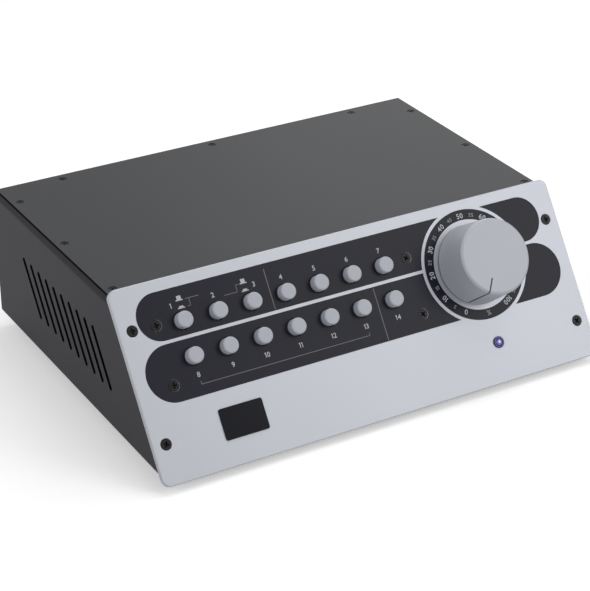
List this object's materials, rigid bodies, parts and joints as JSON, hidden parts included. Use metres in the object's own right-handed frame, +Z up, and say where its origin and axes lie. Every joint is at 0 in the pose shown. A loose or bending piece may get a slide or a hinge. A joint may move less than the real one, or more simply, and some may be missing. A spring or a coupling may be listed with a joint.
{
  "type": "studio monitor controller",
  "caption": "Desktop audio monitor controller with a leaning front panel, rows of push buttons, a large volume knob and sockets at the back.",
  "frame": {"origin": "on the table, at the middle of the overall bounding box", "axes": "+X to the right as seen from the front, +Y to the back, +Z up; the front panel faces -Y and leans back"},
  "size_m": [0.33, 0.2562, 0.1088],
  "materials": {
    "silver_panel": "fine bead-blasted, clear anodised",
    "silver_knob": "turned and bead-blasted, clear anodised",
    "case_grey": "fine textured dark grey powder coat",
    "black_steel": "black oxide",
    "plain_steel": "zinc plated",
    "black_rubber": "matte",
    "button_silver": "satin silver grey",
    "black_plastic": "moulded",
    "board_green": "solder mask",
    "nickel": "nickel plated",
    "gold_brass": "thinly gold plated",
    "socket_black": "satin black",
    "lamp_violet": "clear tinted",
    "bezel_dark": "polished dark",
    "badge_black": "satin",
    "capacitor_sleeve": "shrink sleeve",
    "heatsink_black": "black anodised",
    "tape_yellow": "wound tape"
  },
  "bodies": {
    "case": {"front_panel": "silver_panel", "chassis_tray": "case_grey", "lid": "case_grey", "rear_panel": "case_grey", "rubber_feet": "black_rubber", "corner_screws": "black_steel", "switch_housings": "black_plastic", "board_spacers": "plain_steel", "control_board": "board_green", "volume_pot": "black_plastic", "pot_nut": "nickel", "lamp_bezel": "bezel_dark", "power_lamp": "lamp_violet", "badge_plate": "badge_black", "main_board": "board_green", "main_board_spacers": "plain_steel", "capacitors": "capacitor_sleeve", "relays": "black_plastic", "heatsink": "heatsink_black", "toroid": "tape_yellow", "transformer_clamp": "plain_steel", "xlr_shells": "socket_black", "xlr_pins": "gold_brass", "dsub_sockets": "nickel", "dsub_posts": "nickel", "mains_inlet": "black_plastic", "inlet_blades": "nickel", "power_switch": "black_plastic"},
    "button_01": {"button_cap_01": "button_silver", "switch_plunger_01": "black_plastic"},
    "button_02": {"button_cap_02": "button_silver", "switch_plunger_02": "black_plastic"},
    "button_03": {"button_cap_03": "button_silver", "switch_plunger_03": "black_plastic"},
    "button_04": {"button_cap_04": "button_silver", "switch_plunger_04": "black_plastic"},
    "button_05": {"button_cap_05": "button_silver", "switch_plunger_05": "black_plastic"},
    "button_06": {"button_cap_06": "button_silver", "switch_plunger_06": "black_plastic"},
    "button_07": {"button_cap_07": "button_silver", "switch_plunger_07": "black_plastic"},
    "button_08": {"button_cap_08": "button_silver", "switch_plunger_08": "black_plastic"},
    "button_09": {"button_cap_09": "button_silver", "switch_plunger_09": "black_plastic"},
    "button_10": {"button_cap_10": "button_silver", "switch_plunger_10": "black_plastic"},
    "button_11": {"button_cap_11": "button_silver", "switch_plunger_11": "black_plastic"},
    "button_12": {"button_cap_12": "button_silver", "switch_plunger_12": "black_plastic"},
    "button_13": {"button_cap_13": "button_silver", "switch_plunger_13": "black_plastic"},
    "button_14": {"button_cap_14": "button_silver", "switch_plunger_14": "black_plastic"},
    "volume": {"volume_knob": "silver_knob", "knob_grub_screw": "black_steel", "pot_shaft": "plain_steel"},
    "rocker": {"power_rocker": "black_plastic"}
  },
  "joints": [
    {"name": "button_01_press", "type": "slide", "parent": "case", "child": "button_01", "axis": [0, 0.8161, -0.5779], "range_m": [0, 0.004], "stiffness_N_per_m": 400, "springref_m": -0.001},
    {"name": "button_02_press", "type": "slide", "parent": "case", "child": "button_02", "axis": [0, 0.8161, -0.5779], "range_m": [0, 0.004], "stiffness_N_per_m": 400, "springref_m": -0.001},
    {"name": "button_03_press", "type": "slide", "parent": "case", "child": "button_03", "axis": [0, 0.8161, -0.5779], "range_m": [0, 0.004], "stiffness_N_per_m": 400, "springref_m": -0.001},
    {"name": "button_04_press", "type": "slide", "parent": "case", "child": "button_04", "axis": [0, 0.8161, -0.5779], "range_m": [0, 0.004], "stiffness_N_per_m": 400, "springref_m": -0.001},
    {"name": "button_05_press", "type": "slide", "parent": "case", "child": "button_05", "axis": [0, 0.8161, -0.5779], "range_m": [0, 0.004], "stiffness_N_per_m": 400, "springref_m": -0.001},
    {"name": "button_06_press", "type": "slide", "parent": "case", "child": "button_06", "axis": [0, 0.8161, -0.5779], "range_m": [0, 0.004], "stiffness_N_per_m": 400, "springref_m": -0.001},
    {"name": "button_07_press", "type": "slide", "parent": "case", "child": "button_07", "axis": [0, 0.8161, -0.5779], "range_m": [0, 0.004], "stiffness_N_per_m": 400, "springref_m": -0.001},
    {"name": "button_08_press", "type": "slide", "parent": "case", "child": "button_08", "axis": [0, 0.8161, -0.5779], "range_m": [0, 0.004], "stiffness_N_per_m": 400, "springref_m": -0.001},
    {"name": "button_09_press", "type": "slide", "parent": "case", "child": "button_09", "axis": [0, 0.8161, -0.5779], "range_m": [0, 0.004], "stiffness_N_per_m": 400, "springref_m": -0.001},
    {"name": "button_10_press", "type": "slide", "parent": "case", "child": "button_10", "axis": [0, 0.8161, -0.5779], "range_m": [0, 0.004], "stiffness_N_per_m": 400, "springref_m": -0.001},
    {"name": "button_11_press", "type": "slide", "parent": "case", "child": "button_11", "axis": [0, 0.8161, -0.5779], "range_m": [0, 0.004], "stiffness_N_per_m": 400, "springref_m": -0.001},
    {"name": "button_12_press", "type": "slide", "parent": "case", "child": "button_12", "axis": [0, 0.8161, -0.5779], "range_m": [0, 0.004], "stiffness_N_per_m": 400, "springref_m": -0.001},
    {"name": "button_13_press", "type": "slide", "parent": "case", "child": "button_13", "axis": [0, 0.8161, -0.5779], "range_m": [0, 0.004], "stiffness_N_per_m": 400, "springref_m": -0.001},
    {"name": "button_14_press", "type": "slide", "parent": "case", "child": "button_14", "axis": [0, 0.8161, -0.5779], "range_m": [0, 0.004], "stiffness_N_per_m": 400, "springref_m": -0.001},
    {"name": "volume_turn", "type": "hinge", "parent": "case", "child": "volume", "pos_m": [0.0912, -0.0815, 0.07189], "axis": [0, 0.8161, -0.5779], "range_deg": [0, 300]},
    {"name": "rocker_tip", "type": "hinge", "parent": "case", "child": "rocker", "pos_m": [0.128, 0.12113, 0.076], "axis": [1, 0, 0], "range_deg": [0, 18]}
  ]
}
